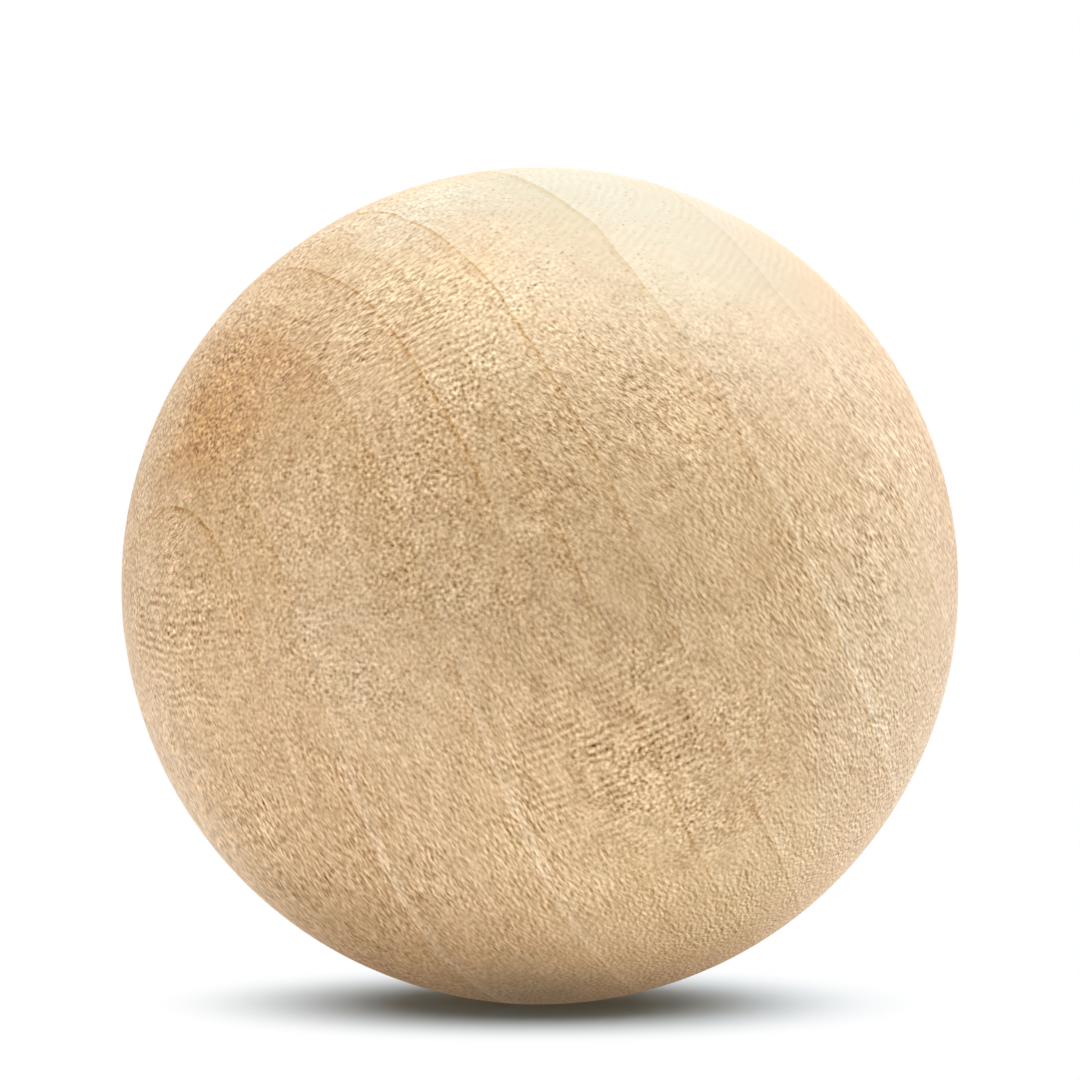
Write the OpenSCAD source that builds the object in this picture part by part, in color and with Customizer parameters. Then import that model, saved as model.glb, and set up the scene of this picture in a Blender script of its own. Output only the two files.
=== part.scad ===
// Plain wooden ball, turned and sanded from one block of pale hardwood.
// It is one solid with no hole, flat or cut in it: every section through its
// centre is the same full circle.  The origin is the centre of the ball and
// +Z is up.  All sizes are in millimetres.

/* [Ball] */
// Diameter of the finished ball
ball_d = 30; // [6:0.5:100]

/* [Hidden] */

// Facets round the largest circle of a preview
ball_facets = 128;

// Bare sanded wood, pale straw brown
wood_colour = [0.85, 0.73, 0.58];

// The whole ball, round about its own centre
module ball() {
    color(wood_colour)
        sphere(d = ball_d, $fn = ball_facets);
}

ball();
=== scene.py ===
import math

import bmesh
import bpy
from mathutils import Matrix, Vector, noise


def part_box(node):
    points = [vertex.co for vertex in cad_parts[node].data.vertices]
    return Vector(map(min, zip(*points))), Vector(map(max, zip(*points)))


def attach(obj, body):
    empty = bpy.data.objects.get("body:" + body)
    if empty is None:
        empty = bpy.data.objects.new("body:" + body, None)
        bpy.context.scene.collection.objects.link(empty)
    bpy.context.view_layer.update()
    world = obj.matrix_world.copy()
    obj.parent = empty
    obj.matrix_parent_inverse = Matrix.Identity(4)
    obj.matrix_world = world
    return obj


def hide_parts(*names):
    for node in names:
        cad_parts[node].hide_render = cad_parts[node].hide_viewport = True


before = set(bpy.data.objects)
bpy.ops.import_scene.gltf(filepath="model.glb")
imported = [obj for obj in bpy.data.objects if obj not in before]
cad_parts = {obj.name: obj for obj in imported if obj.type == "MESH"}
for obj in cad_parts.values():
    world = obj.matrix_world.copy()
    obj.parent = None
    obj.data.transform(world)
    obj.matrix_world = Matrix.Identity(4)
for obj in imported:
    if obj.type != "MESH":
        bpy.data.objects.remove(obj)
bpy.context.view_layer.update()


# ---- Camera -----------------------------------------------------------------
# A long lens looks at the ball almost level, from a little above its middle.
# It aims slightly over the ball, so there is more room above than below.
MM = 0.001
ball_low, ball_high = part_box("ball")
ball_centre = (ball_low + ball_high) / 2
ball_radius = (ball_high.z - ball_low.z) / 2

camera_distance = 20 * ball_radius
camera_rise = math.radians(3.0)
film_width = 36.0            # millimetres, as the camera counts them
ball_share = 0.3874          # the ball's radius as a share of the view's width
drop_share = 0.0425          # how far its centre sits below the view's centre

camera_data = bpy.data.cameras.new("studio_camera")
camera = bpy.data.objects.new("studio_camera", camera_data)
bpy.context.scene.collection.objects.link(camera)
camera_back = Vector((0.0, -math.cos(camera_rise), math.sin(camera_rise)))
camera.location = ball_centre + camera_back * camera_distance
seen_radius = math.tan(math.asin(ball_radius / camera_distance))
camera_data.sensor_width = film_width
camera_data.lens = ball_share * film_width / seen_radius
aim_up = math.atan(drop_share * film_width / camera_data.lens)
camera.rotation_euler = (math.pi / 2 - camera_rise + aim_up, 0.0, 0.0)
bpy.context.scene.camera = camera


# ---- Ball -------------------------------------------------------------------
# One ball of pale, fine-pored hardwood, turned on a lathe and sanded bare.
# The pith of the log passes just inside it, so its growth layers show as
# bowed rings, and faint circles of the tool are left round the turning axis.
grain_axis = Vector((-0.464, -0.518, 0.719)).normalized()
turning_axis = Vector((-0.416, -0.218, 0.883)).normalized()
pith_point = Vector((-10.8, -3.2, -9.3)) * MM
layer_taper = -0.11          # how much a layer closes in along the grain
layer_bow = 0.0159           # how much it swells again, per millimetre
layer_wander = 0.35          # how far it wanders, as a share of a mottle

# The unevenness of the sanded skin, in millimetres
line_width = 0.22
line_rise = 0.004
tool_rise = 0.004
hand_rise = 0.012

# The lines between the growth layers: radius in millimetres from the pith, how
# dark the line is near the end grain and along the side, and how pale the wood
# just outside it is
growth_lines = [
    (3.0, 0.3, 0.3, 0.3),
    (6.7, 1.1, 0.3, 1.2),
    (8.9, 0.1, 0.1, 2.0),
    (13.9, 0.1, 0.1, 2.0),
    (16.8, 1.1, 0.2, 0.3),
    (18.3, 0.1, 0.9, 0.3),
    (20.2, 1.0, 0.6, 0.9),
    (23.9, 0.6, 0.3, 1.4),
    (27.0, 0.5, 0.3, 0.8),
    (28.6, 0.5, 0.3, 0.8),
    (31.0, 0.5, 0.3, 0.5),
]
layers_end = 34.0

cuts = 127
bm = bmesh.new()
bmesh.ops.create_cube(bm, size=2.0)
bmesh.ops.subdivide_edges(bm, edges=bm.edges[:], cuts=cuts, use_grid_fill=True)


def layer_place(point):
    """The growth layer that a point lies in, as its radius in millimetres beside the pith point."""
    from_pith = (point - pith_point) / MM
    along = from_pith.dot(grain_axis)
    across = (from_pith - grain_axis * along).length
    return across + layer_taper * along + layer_bow * along * along


def relief(direction):
    """How far the surface stands off the true sphere there, in millimetres."""
    place = layer_place(direction * ball_radius)
    ridge = sum(math.exp(-((place - line[0]) / line_width) ** 2) for line in growth_lines)
    tool = noise.noise(Vector((direction.dot(turning_axis) * 22.0, 3.4, 7.3)))
    hand = noise.noise(direction * 2.5 + Vector((5.0, 1.0, 2.0)))
    return line_rise * ridge + tool_rise * tool + hand_rise * hand


for vertex in bm.verts:
    spread = [math.tan(value * math.pi / 4) for value in vertex.co]
    direction = Vector(spread).normalized()
    vertex.co = direction * (ball_radius + relief(direction) * MM)
for face in bm.faces:
    face.smooth = True
bmesh.ops.recalc_face_normals(bm, faces=bm.faces[:])

ball_mesh = bpy.data.meshes.new("turned_ball")
bm.to_mesh(ball_mesh)
bm.free()
ball = bpy.data.objects.new("turned_ball", ball_mesh)
bpy.context.scene.collection.objects.link(ball)

wood = bpy.data.materials.new("bare_sanded_wood")
wood.use_nodes = True
nodes = wood.node_tree.nodes
links = wood.node_tree.links
nodes.clear()


def feed(socket, value):
    """Gives an input its value, or links it to another node's output."""
    if isinstance(value, bpy.types.NodeSocket):
        links.new(value, socket)
    else:
        socket.default_value = value


def calc(operation, first, second=0.0, third=0.0):
    """One Math node."""
    node = nodes.new("ShaderNodeMath")
    node.operation = operation
    for socket, value in zip(node.inputs, (first, second, third)):
        feed(socket, value)
    return node.outputs[0]


def calc_vector(operation, first, second=(0.0, 0.0, 0.0), third=(0.0, 0.0, 0.0), output="Vector"):
    """One Vector Math node."""
    node = nodes.new("ShaderNodeVectorMath")
    node.operation = operation
    for socket, value in zip(node.inputs, (first, second, third)):
        feed(socket, value)
    return node.outputs[output]


def add_up(*parts):
    """The sum of several values, each times its share."""
    total = calc("MULTIPLY", *parts[0])
    for value, share in parts[1:]:
        total = calc("MULTIPLY_ADD", value, share, total)
    return total


def ease(value, low, high, at_low=0.0, at_high=1.0):
    """Goes smoothly from at_low to at_high as value goes from low to high."""
    node = nodes.new("ShaderNodeMapRange")
    node.interpolation_type = "SMOOTHSTEP"
    for name, number in (("Value", value), ("From Min", low), ("From Max", high)):
        feed(node.inputs[name], number)
    feed(node.inputs["To Min"], at_low)
    feed(node.inputs["To Max"], at_high)
    return node.outputs["Result"]


def mottle(place, stretch, detail=0.0, roughness=0.5, shift=0.0):
    """Noise about nought, with stretch lumps to the millimetre along each axis."""
    node = nodes.new("ShaderNodeTexNoise")
    node.noise_dimensions = "3D"
    shifts = (shift, shift * 0.7, -shift)
    feed(node.inputs["Vector"], calc_vector("MULTIPLY_ADD", place, stretch, shifts))
    feed(node.inputs["Scale"], 1.0)
    feed(node.inputs["Detail"], detail)
    feed(node.inputs["Roughness"], roughness)
    return calc("SUBTRACT", node.outputs["Fac"], 0.5)


def ramp(value, stops, interpolation="LINEAR"):
    """A colour ramp through (place, (red, green, blue)) stops."""
    node = nodes.new("ShaderNodeValToRGB")
    node.color_ramp.interpolation = interpolation
    elements = node.color_ramp.elements
    while len(elements) > 1:
        elements.remove(elements[-1])
    elements[0].position = stops[0][0]
    elements[0].color = (*stops[0][1], 1.0)
    for position, colour in stops[1:]:
        elements.new(position).color = (*colour, 1.0)
    feed(node.inputs["Fac"], value)
    return node.outputs["Color"]


def split(vector, kind="ShaderNodeSeparateXYZ"):
    """The three parts of a vector or a colour."""
    node = nodes.new(kind)
    feed(node.inputs[0], vector)
    return node.outputs[0], node.outputs[1], node.outputs[2]


# Places in the ball, in millimetres: plain ones, and ones in the log with Z
# along its pith
ball_place = nodes.new("ShaderNodeTexCoord").outputs["Object"]
plain_place = calc_vector("MULTIPLY", ball_place, (1 / MM, 1 / MM, 1 / MM))


def turned_place(origin, axis):
    """Places in the ball in millimetres from origin, with Z along axis."""
    node = nodes.new("ShaderNodeMapping")
    node.vector_type = "TEXTURE"
    feed(node.inputs["Vector"], ball_place)
    feed(node.inputs["Location"], origin)
    feed(node.inputs["Rotation"], axis.to_track_quat("Z", "Y").to_euler())
    feed(node.inputs["Scale"], (MM, MM, MM))
    return node.outputs["Vector"]


log_place = turned_place(pith_point, grain_axis)
along = split(log_place)[2]

# Growth layers: each ends in a thin dark line, with paler wood just outside it
flat_place = calc_vector("MULTIPLY", log_place, (1.0, 1.0, 0.0))
across = calc_vector("LENGTH", flat_place, output="Value")
along_squared = calc("MULTIPLY", along, along)
wander = mottle(log_place, (0.35, 0.35, 0.12), detail=1.0)
layer = add_up(
    (across, 1.0),
    (along, layer_taper),
    (along_squared, layer_bow),
    (wander, layer_wander),
)
layer_share = calc("DIVIDE", layer, layers_end)
layers = len(growth_lines) + 1
count_stops = [(0.0, (0.0, 0.0, 0.0))]
outer_stops = []
inner_stops = [(0.0, (0.0, 0.0, 0.0))]
for number, (radius, dark_end, dark_side, pale) in enumerate(growth_lines):
    inside = number / layers
    outside = (number + 1) / layers
    count_stops.append((radius / layers_end, (outside, outside, outside)))
    outer_stops.append((inside, (dark_end, dark_side, 0.0)))
    inner_stops.append((outside, (pale, 0.0, 0.0)))
count_stops.append((1.0, (1.0, 1.0, 1.0)))

count_share = split(ramp(layer_share, count_stops), "ShaderNodeSeparateColor")[0]
layer_count = calc("MULTIPLY", count_share, layers)
in_layer = calc("FRACT", layer_count)
layer_number = calc("DIVIDE", calc("ADD", calc("FLOOR", layer_count), 0.5), layers)
outer_line = split(ramp(layer_number, outer_stops, "CONSTANT"), "ShaderNodeSeparateColor")
outer_end, outer_side = outer_line[:2]
inner_line = split(ramp(layer_number, inner_stops, "CONSTANT"), "ShaderNodeSeparateColor")
pale_strength = inner_line[0]
near_end = ease(along, 9.5, 12.8)
uneven = ease(mottle(log_place, (0.4, 0.4, 0.2), detail=2.0, shift=9.4), -0.2, 0.15, 0.6, 1.2)
dark_strength = calc("MULTIPLY_ADD", near_end, calc("SUBTRACT", outer_end, outer_side), outer_side)
dark_line = calc("MULTIPLY", ease(in_layer, 0.925, 0.985), calc("MULTIPLY", dark_strength, uneven))
pale_band = calc("MULTIPLY", ease(in_layer, 0.0, 0.13, 1.0, 0.0), pale_strength)
pale_band = calc("MULTIPLY", pale_band, calc("MULTIPLY", uneven, ease(along, 4.0, 9.0, 1.0, 0.25)))
late_wood = calc("MULTIPLY", ease(in_layer, 0.45, 0.97), ease(along, 6.0, 12.0, 0.3, 1.0))

# Fibres and pores: short groove marks along the grain, and round pores towards the end
# grain. In the colour each groove has painted shade, brown, on one side and a
# painted highlight, pale, on the other, as if lit from one side
shade_to_highlight_step = Vector((0.050, 0.0, 0.034))    # millimetres from the brown side to the pale one
side_step = Vector((-0.034, 0.0, 0.050))
fibre_contrast = 2.8
log_step = grain_axis.to_track_quat("Z", "Y").inverted() @ shade_to_highlight_step


def grooves_and_painted_light(place, stretch, step, shift):
    """How much a mottle rises over one step; in the colour this paints light on one side of a
    groove and shade on the other.
    """
    here = mottle(place, stretch, shift=shift)
    there = mottle(calc_vector("ADD", place, step), stretch, shift=shift)
    return calc("SUBTRACT", there, here)


def patches(rows, start, place):
    """Three amounts that change in round patches, each full at its middle and gone at its reach."""
    total = start
    for middle, reach, change in rows:
        away = calc_vector("DISTANCE", place, middle, output="Value")
        total = calc_vector("MULTIPLY_ADD", ease(away, 0.0, reach, 1.0, 0.0), change, total)
    return total


ball_way = calc_vector("NORMALIZE", plain_place)


def arc_from(axis):
    """Millimetres over the ball from the end of an axis."""
    level = calc_vector("DOT_PRODUCT", ball_way, axis, output="Value")
    return calc("MULTIPLY", calc("ARCCOSINE", level), ball_radius / MM)


def strokes_round(axis, shift):
    """Fine strokes that run round an axis: noise in places that are squeezed along it."""
    squeezed = calc_vector("MULTIPLY_ADD", arc_from(axis), axis * -2.0, plain_place)
    return mottle(squeezed, (3.5, 3.5, 3.5), detail=2.0, roughness=0.9, shift=shift)


sanding_axis = Vector((-0.59, 0.08, 0.80)).normalized()
torn_axis = Vector((0.63, 0.17, 0.76)).normalized()

dashes = add_up(
    (grooves_and_painted_light(log_place, (7.5, 7.5, 3.8), log_step, 0.0), 0.75),
    (grooves_and_painted_light(log_place, (13.0, 13.0, 6.5), log_step * 0.6, 3.3), 0.4),
)
dots = add_up(
    (mottle(plain_place, (3.8, 3.8, 3.8), detail=2.0, roughness=0.9, shift=15.3), 0.8),
    (grooves_and_painted_light(plain_place, (6.6, 6.6, 6.6), shade_to_highlight_step * 0.8, 7.7), 0.75),
    (grooves_and_painted_light(plain_place, (6.6, 6.6, 6.6), side_step * 0.8, 19.4), 0.75),
)
sanding = calc("MULTIPLY", strokes_round(sanding_axis, 25.1), 2.4)
torn = calc("MULTIPLY", strokes_round(torn_axis, 45.3), 2.8)

# Where the grain is unlike the rest: place and reach in millimetres, then how
# much rounder its marks are, how much sparser, and how far strokes take over:
# sanding above zero, torn fibres below
grain_kind = patches([
    ((5.8, -12.0, -6.8), 8.0, (15.0, 0.0, 0.0)),
    ((3.5, -4.3, 15.0), 12.0, (0.0, 1.4, 0.0)),
    ((9.0, -4.3, 11.0), 8.0, (0.0, 0.6, 0.0)),
    ((-6.0, -9.3, 10.1), 8.0, (0.0, 0.0, 0.9)),
    ((-13.0, -7.0, 2.0), 4.0, (0.0, 0.0, 0.8)),
    ((3.2, -12.7, 6.3), 8.5, (0.0, 0.0, -0.9)),
], (0.0, 0.0, 0.0), plain_place)
rounder, sparser, stroked = split(grain_kind)
sanding_share = calc("MINIMUM", calc("MAXIMUM", stroked, 0.0), 1.0)
torn_share = calc("MAXIMUM", calc("MULTIPLY", stroked, -1.0), 0.0)
dots = calc("MULTIPLY_ADD", sanding_share, calc("SUBTRACT", sanding, dots), dots)
dots = calc("MULTIPLY_ADD", torn_share, calc("SUBTRACT", torn, dots), dots)
ragged = mottle(plain_place, (0.35, 0.35, 0.35), detail=2.0, shift=17.1)
dot_share = ease(add_up((ragged, 12.0), (along, 1.0), (rounder, 1.0)), 2.0, 12.0)
fibre_and_painted_light = calc("MULTIPLY_ADD", dot_share, calc("SUBTRACT", dots, dashes), dashes)
fibre_and_painted_light = calc("MULTIPLY", fibre_and_painted_light, fibre_contrast)
sparse = calc("MULTIPLY", calc("MINIMUM", calc("ADD", fibre_and_painted_light, 0.4), 0.0), 1.25)
sparser = calc("MINIMUM", sparser, 1.0)
fibre_and_painted_light = calc("MULTIPLY_ADD", sparser, calc("SUBTRACT", sparse, fibre_and_painted_light), fibre_and_painted_light)
patchy = mottle(plain_place, (0.5, 0.5, 0.5), detail=3.0, roughness=0.7, shift=21.6)
fibre_and_painted_light = calc("MULTIPLY", fibre_and_painted_light, ease(patchy, -0.22, 0.22, 0.7, 1.3))
coarse = mottle(log_place, (1.5, 1.5, 0.8), detail=3.0, roughness=0.65, shift=4.2)
drift = mottle(log_place, (0.16, 0.16, 0.08), detail=2.0, shift=2.2)

# Turning marks: fine even circles round one axis, broken into rungs where the
# wood between them tore or was sanded away
circle_angle = 19.0          # radians of the wave to a millimetre: a circle each third of one
arc = arc_from(turning_axis)
waver = mottle(plain_place, (0.4, 0.4, 0.4), detail=2.0, shift=6.7)
breaks = mottle(log_place, (0.9, 0.9, 0.25), detail=1.0, shift=12.9)
phase = add_up((arc, circle_angle), (waver, 10.0), (breaks, 6.0))
worn = ease(mottle(plain_place, (0.9, 0.9, 0.9), detail=1.0, shift=40.2), -0.12, 0.12, 0.2, 1.0)
circles = calc("MULTIPLY", calc("SINE", phase), calc("MULTIPLY", worn, 0.2))

# Where the working shows: place and reach in millimetres, then the change in
# how strong the turning circles, the fibres and the coarse mottle are
least_fibre = 0.2            # the fibres never fade further than this
working = patches([
    ((2.3, -13.9, -5.0), 6.0, (1.5, 0.1, 0.9)),
    ((-13.0, -7.3, -1.4), 5.2, (1.6, 0.25, 0.7)),
    ((-8.5, -12.0, 1.0), 4.5, (0.0, -0.25, 0.2)),
    ((-2.7, -13.3, 6.5), 4.0, (0.5, 0.2, 0.0)),
    ((5.7, -12.2, 6.6), 4.0, (0.5, 0.2, 0.0)),
    ((-3.9, -10.7, 9.7), 6.0, (1.0, 0.1, 0.0)),
    ((3.5, -4.3, 15.0), 11.0, (0.1, -0.45, -0.8)),
    ((9.0, -4.3, 11.0), 8.0, (0.1, -0.2, -0.4)),
    ((-8.6, -8.4, -7.7), 7.0, (0.0, 0.2, 0.0)),
    ((0.0, -6.0, -13.8), 8.0, (0.0, -0.5, -0.2)),
    ((-10.6, -7.4, 7.7), 6.0, (0.0, 0.5, 0.6)),
    ((0.9, -14.9, -0.6), 8.0, (0.0, 0.0, 0.6)),
    ((-6.5, -9.8, 9.2), 6.0, (0.0, 0.0, -0.5)),
    ((6.8, -10.6, -8.2), 5.0, (0.0, -0.2, 0.1)),
    ((13.8, -5.5, -0.5), 6.0, (0.0, -0.5, -0.2)),
    ((10.0, 9.0, -6.0), 7.0, (0.8, 0.1, 0.0)),
    ((-6.0, 12.0, 6.0), 7.0, (0.8, 0.1, 0.0)),
], (0.15, 1.0, 1.0), plain_place)
turning_strength, fibre_strength, coarse_strength = split(working)
turning = calc("MULTIPLY", circles, turning_strength)
fibre_and_painted_light = calc("MULTIPLY", fibre_and_painted_light, calc("MAXIMUM", fibre_strength, least_fibre))
coarse = calc("MULTIPLY", coarse, coarse_strength)

# Colour: each layer of wood has its own, from the inside out
wood_colour = ramp(layer_share, [
    (0.12, (0.610, 0.400, 0.210)),
    (0.30, (0.612, 0.410, 0.228)),
    (0.40, (0.595, 0.395, 0.212)),
    (0.52, (0.545, 0.362, 0.188)),
    (0.62, (0.550, 0.374, 0.200)),
    (0.72, (0.535, 0.376, 0.214)),
    (0.82, (0.535, 0.364, 0.212)),
])

# Stains and pale places in the wood, with ragged edges, and among them painted
# light: painted highlight at the top and upper right, painted sheen on the right
# rim and painted fill light low at the front, as marked row by row. The last two
# rows darken the wood towards the bottom. Each row: place, reach, change of red,
# green and blue
ragged_place = calc_vector("MULTIPLY_ADD", ragged, (4.0, -3.0, 5.0), plain_place)
stains_and_painted_light = patches([
    ((-11.2, -7.5, 7.0), 6.2, (-0.20, -0.38, -0.66)),
    # This row: painted highlight at the top, paler and cooler
    ((-4.4, -4.5, 13.5), 4.7, (0.05, 0.24, 0.55)),
    ((-4.8, -8.7, 11.3), 2.8, (0.05, 0.09, 0.14)),
    ((-3.5, -10.6, 10.1), 6.0, (0.19, 0.25, 0.35)),
    ((1.0, -10.8, 10.3), 6.5, (0.08, 0.14, 0.23)),
    # This row: painted highlight at the top, paler and cooler
    ((2.2, -3.8, 14.3), 9.5, (-0.19, 0.05, 0.37)),
    # This row and the next two: partly paler wood, partly painted highlight on the upper right
    ((8.0, -5.0, 11.4), 6.5, (-0.09, -0.01, 0.05)),
    ((10.5, -7.0, 8.2), 5.0, (0.03, 0.08, 0.12)),
    ((4.8, -9.0, 11.0), 5.5, (0.0, 0.06, 0.11)),
    ((2.9, -14.7, 0.6), 4.8, (-0.07, -0.07, -0.07)),
    ((5.0, -12.6, 6.4), 3.0, (0.08, 0.07, 0.07)),
    ((-2.8, -14.6, 0.6), 4.5, (-0.07, -0.06, -0.04)),
    ((-5.8, -13.8, -0.5), 5.0, (-0.01, 0.03, 0.08)),
    ((-10.0, -11.2, 1.3), 3.0, (-0.03, -0.06, -0.13)),
    ((8.2, -11.8, 4.4), 5.5, (0.05, 0.04, 0.03)),
    # This row and the next two: painted sheen along the right rim, paler and cooler
    ((12.6, -8.0, -0.2), 7.5, (0.11, 0.18, 0.26)),
    ((12.5, -7.4, 4.0), 4.0, (0.05, 0.07, 0.10)),
    ((10.0, -10.5, -4.0), 4.0, (0.04, 0.06, 0.12)),
    ((2.3, -13.9, -5.0), 5.0, (0.05, 0.05, 0.06)),
    ((-3.8, -13.6, -5.0), 4.0, (0.03, 0.07, 0.11)),
    ((-2.5, -12.0, -8.7), 4.0, (0.03, 0.07, 0.11)),
    ((5.0, -12.7, -6.1), 3.0, (-0.07, -0.08, -0.12)),
    # This row and the next: partly paler wood, partly painted fill light from below
    ((2.8, -10.4, -10.4), 7.5, (0.17, 0.25, 0.34)),
    ((8.0, -8.2, -9.6), 5.5, (0.03, 0.10, 0.15)),
    ((-7.2, -6.5, -11.3), 5.0, (-0.09, -0.09, -0.13)),
    ((0.0, -5.2, -14.1), 4.5, (-0.17, -0.11, -0.06)),
], (1.025, 1.04, 1.05), ragged_place)
wood_colour = calc_vector("MULTIPLY", wood_colour, stains_and_painted_light)

# Fine marks, partly grain and partly the painted light and shade of each groove, go
# up where the wood is pale and down where it is brown, most in blue and least in
# red; the lines and bands of the layers do so more strongly
marks = add_up((fibre_and_painted_light, 0.53), (coarse, 0.5), (turning, 0.8))
bands = add_up((drift, 0.2), (pale_band, 0.11), (dark_line, -0.24), (late_wood, -0.07))
hue = mottle(plain_place, (1.2, 1.2, 1.2), detail=2.0, shift=31.9)
mark_tint = (1.0, 1.28, 1.66)
band_tint = (0.6, 1.0, 1.75)
hue_tint = (0.06, -0.03, -0.04)
tint = calc_vector("MULTIPLY_ADD", marks, mark_tint, (1.0, 1.0, 1.0))
tint = calc_vector("MULTIPLY_ADD", bands, band_tint, tint)
tint = calc_vector("MULTIPLY_ADD", hue, hue_tint, tint)
wood_colour = calc_vector("MULTIPLY", wood_colour, tint)

mark_depth = 0.10 * MM
height = add_up((fibre_and_painted_light, 0.08), (turning, 0.6), (coarse, 0.3))
bump = nodes.new("ShaderNodeBump")
feed(bump.inputs["Strength"], 1.0)
feed(bump.inputs["Distance"], mark_depth)
feed(bump.inputs["Height"], height)

sanded_roughness = 0.5
skin = nodes.new("ShaderNodeBsdfPrincipled")
feed(skin.inputs["Base Color"], wood_colour)
feed(skin.inputs["Roughness"], calc("MULTIPLY_ADD", fibre_and_painted_light, -0.04, sanded_roughness))
feed(skin.inputs["Normal"], bump.outputs["Normal"])
output = nodes.new("ShaderNodeOutputMaterial")
feed(output.inputs["Surface"], skin.outputs["BSDF"])
ball_mesh.materials.append(wood)

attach(ball, "root")
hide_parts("ball")


# ---- Floor and lights -------------------------------------------------------
# A plain white table under the ball, soft lamps over and round it, most of
# the light from above and a little to the right, and a white room behind.
table_half = 1.5             # metres from its middle to its edge
table_paint = Vector((0.90, 0.90, 0.90))
shadow_paint = Vector((0.45, 0.58, 0.70))    # what the camera sees of it in the shadow
table_glow = 0.14
shadow_start = 0.3 * ball_radius
shadow_end = 0.95 * ball_radius
room_glow = 0.1

bm = bmesh.new()
bmesh.ops.create_grid(bm, x_segments=1, y_segments=1, size=table_half)
bmesh.ops.translate(bm, verts=bm.verts[:], vec=(0.0, 0.0, ball_low.z))
floor_mesh = bpy.data.meshes.new("studio_floor")
bm.to_mesh(floor_mesh)
bm.free()
floor = bpy.data.objects.new("studio_floor", floor_mesh)
bpy.context.scene.collection.objects.link(floor)

paper = bpy.data.materials.new("white_paper")
paper.use_nodes = True
nodes = paper.node_tree.nodes
links = paper.node_tree.links
nodes.clear()
floor_place = nodes.new("ShaderNodeTexCoord").outputs["Object"]
from_ball = calc_vector("DISTANCE", floor_place, (0.0, 0.0, ball_low.z), output="Value")
seen = nodes.new("ShaderNodeLightPath").outputs["Is Camera Ray"]
matt = nodes.new("ShaderNodeBsdfDiffuse")
paint = calc_vector("MULTIPLY_ADD", seen, shadow_paint - table_paint, table_paint)
feed(matt.inputs["Color"], paint)
glow = nodes.new("ShaderNodeEmission")
feed(glow.inputs["Strength"], ease(seen, 0.0, 1.0, table_glow, 0.0))
lit = nodes.new("ShaderNodeAddShader")
links.new(matt.outputs["BSDF"], lit.inputs[0])
links.new(glow.outputs["Emission"], lit.inputs[1])
clear = nodes.new("ShaderNodeEmission")
feed(clear.inputs["Strength"], 1.0)
shadow_edge = ease(from_ball, shadow_start, shadow_end)
fade = nodes.new("ShaderNodeMixShader")
feed(fade.inputs["Fac"], calc("MULTIPLY", seen, shadow_edge))
links.new(lit.outputs["Shader"], fade.inputs[1])
links.new(clear.outputs["Emission"], fade.inputs[2])
output = nodes.new("ShaderNodeOutputMaterial")
feed(output.inputs["Surface"], fade.outputs["Shader"])
floor_mesh.materials.append(paper)

room = bpy.data.worlds.new("white_room")
bpy.context.scene.world = room
room.use_nodes = True
nodes = room.node_tree.nodes
links = room.node_tree.links
nodes.clear()
path = nodes.new("ShaderNodeLightPath")
direct = calc("MAXIMUM", path.outputs["Is Camera Ray"], path.outputs["Is Transmission Ray"])
direct = calc("MAXIMUM", direct, path.outputs["Is Glossy Ray"])
air = nodes.new("ShaderNodeBackground")
feed(air.inputs["Color"], (1.0, 1.0, 1.0, 1.0))
feed(air.inputs["Strength"], ease(direct, 0.0, 1.0, room_glow, 1.0))
output = nodes.new("ShaderNodeOutputWorld")
feed(output.inputs["Surface"], air.outputs["Background"])


def soft_lamp(name, direction, distance, width, level):
    """A square lamp that faces the ball; level is its brightness as a surface."""
    data = bpy.data.lights.new(name, "AREA")
    data.shape = "SQUARE"
    data.size = width
    data.energy = level * width * width * math.pi
    lamp = bpy.data.objects.new(name, data)
    bpy.context.scene.collection.objects.link(lamp)
    away = Vector(direction).normalized()
    lamp.location = ball_centre + away * distance
    lamp.rotation_euler = away.to_track_quat("Z", "Y").to_euler()


soft_lamp("top_lamp", (0.25, 0.35, 1.0), 0.35, 0.3, 3.15)
soft_lamp("top_left_lamp", (-0.6, 0.2, 1.0), 0.35, 0.3, 1.9)
soft_lamp("top_right_lamp", (0.9, 0.1, 1.0), 0.35, 0.3, 2.4)
soft_lamp("top_front_lamp", (0.1, -0.5, 1.0), 0.35, 0.3, 1.6)
soft_lamp("back_lamp", (0.1, 1.0, 0.6), 0.4, 0.4, 0.5)
soft_lamp("back_right_lamp", (0.9, 0.8, 0.5), 0.4, 0.3, 0.45)
soft_lamp("front_left_lamp", (-0.7, -0.9, 0.5), 0.4, 0.3, 0.7)

scene = bpy.context.scene
scene.view_settings.view_transform = "Standard"
